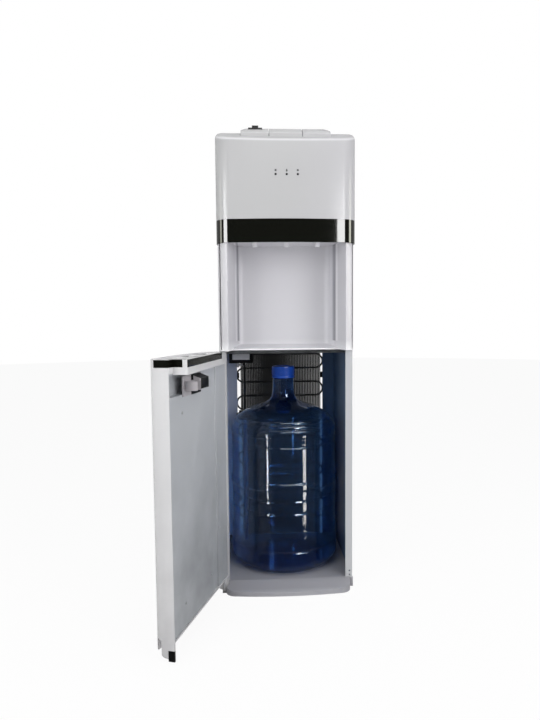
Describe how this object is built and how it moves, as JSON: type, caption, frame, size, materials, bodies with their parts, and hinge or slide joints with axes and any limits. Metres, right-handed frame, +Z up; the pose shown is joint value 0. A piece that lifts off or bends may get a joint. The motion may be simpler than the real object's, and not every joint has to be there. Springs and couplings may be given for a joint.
{
  "type": "bottom load water cooler",
  "caption": "Free-standing bottom load water cooler, bowed white head over a dispensing recess, door open on a full bottle.",
  "frame": {"origin": "on the floor, midway between the sides, in the plane of the cabinet's front flanges", "axes": "+X to the right seen from the front, +Y to the back, +Z up"},
  "size_m": [0.4211, 0.6176, 1.0642],
  "materials": {
    "white_shell": "satin",
    "recess_white": "satin",
    "white_sheet": "satin",
    "liner_grey": "matte",
    "black_gloss": "gloss",
    "black_plastic": "matte",
    "grey_plastic": "satin",
    "black_rubber": "matte",
    "zinc_steel": "satin",
    "stainless": "satin",
    "black_steel": "satin",
    "copper": "satin",
    "foam": "matte",
    "board_green": "matte",
    "silicone": "satin",
    "lens_clear": "gloss",
    "bottle_blue": "gloss",
    "cap_blue": "satin",
    "switch_red": "gloss",
    "switch_green": "gloss"
  },
  "bodies": {
    "cabinet": {"anti_slip_pads": "black_rubber", "base_tray": "grey_plastic", "cold_tank": "stainless", "cold_tap": "recess_white", "compressor": "black_steel", "compressor_grommets": "black_rubber", "compressor_shelf": "zinc_steel", "condenser_brackets": "black_steel", "condenser_tube": "black_steel", "condenser_wires": "black_steel", "control_board": "board_green", "drain_spigot": "recess_white", "evaporator": "copper", "filter_dryer": "copper", "head_band": "black_gloss", "head_cover": "white_shell", "heater_band": "zinc_steel", "hot_tank": "stainless", "hot_tap": "recess_white", "indicator_lenses": "lens_clear", "left_side_panel": "white_sheet", "lower_hinge_bracket": "zinc_steel", "outlet_fitting": "recess_white", "power_inlet": "black_plastic", "probe_collar": "black_plastic", "probe_straw": "silicone", "pump": "black_plastic", "pump_bracket": "zinc_steel", "pump_outlet_hose": "silicone", "rear_panel_screws": "zinc_steel", "rear_upper_panel": "zinc_steel", "recess_liner": "recess_white", "refrigerant_lines": "copper", "right_side_panel": "white_sheet", "room_tap": "recess_white", "suction_hose": "black_rubber", "switch_bezels": "black_plastic", "tank_insulation": "foam", "tank_shelf": "zinc_steel", "tap_hoses": "silicone", "top_cover": "white_shell", "upper_hinge_bracket": "zinc_steel"},
    "door": {"door_outer_shell": "white_shell", "door_inner_panel": "liner_grey", "tray_housing": "white_shell", "door_band": "black_gloss", "probe_hanger": "black_plastic", "door_catch": "black_plastic", "door_screws": "zinc_steel"},
    "drip_tray_set": {"drip_tray": "recess_white", "drip_grille": "recess_white"},
    "hot_button": {"hot_button": "white_shell"},
    "room_button": {"room_button": "white_shell"},
    "cold_button": {"cold_button": "white_shell"},
    "child_lock": {"child_lock": "black_plastic"},
    "hot_switch": {"hot_switch": "switch_red"},
    "cold_switch": {"cold_switch": "switch_green"},
    "drain_cap": {"drain_cap": "black_plastic"},
    "water_bottle": {"bottle": "bottle_blue", "bottle_cap": "cap_blue"}
  },
  "joints": [
    {"name": "door_hinge", "type": "hinge", "parent": "cabinet", "child": "door", "pos_m": [-0.148, -0.01, 0.3], "axis": [0, 0, 1], "range_deg": [-7.5, 107.5]},
    {"name": "drip_tray_lift", "type": "slide", "parent": "door", "child": "drip_tray_set", "axis": [0, 0, -1], "range_m": [-0.03, 0]},
    {"name": "hot_press", "type": "slide", "parent": "cabinet", "child": "hot_button", "axis": [0, 0, -1], "range_m": [0, 0.005], "stiffness_N_per_m": 1500},
    {"name": "room_press", "type": "slide", "parent": "cabinet", "child": "room_button", "axis": [0, 0, -1], "range_m": [0, 0.005], "stiffness_N_per_m": 1500},
    {"name": "cold_press", "type": "slide", "parent": "cabinet", "child": "cold_button", "axis": [0, 0, -1], "range_m": [0, 0.005], "stiffness_N_per_m": 1500},
    {"name": "child_lock_slide", "type": "slide", "parent": "hot_button", "child": "child_lock", "axis": [-1, 0, 0], "range_m": [0, 0.004]},
    {"name": "hot_switch_rock", "type": "hinge", "parent": "cabinet", "child": "hot_switch", "pos_m": [0.1, 0.29667, 0.668], "axis": [1, 0, 0], "range_deg": [-16, 0]},
    {"name": "cold_switch_rock", "type": "hinge", "parent": "cabinet", "child": "cold_switch", "pos_m": [0.068, 0.29667, 0.668], "axis": [1, 0, 0], "range_deg": [-16, 0]},
    {"name": "drain_cap_turn", "type": "hinge", "parent": "cabinet", "child": "drain_cap", "pos_m": [-0.088, 0.311, 0.8402], "axis": [0, 1, 0], "range_deg": [0, 720]},
    {"name": "bottle_slide", "type": "slide", "parent": "cabinet", "child": "water_bottle", "axis": [0, 1, 0], "range_m": [-0.12, 0]}
  ]
}
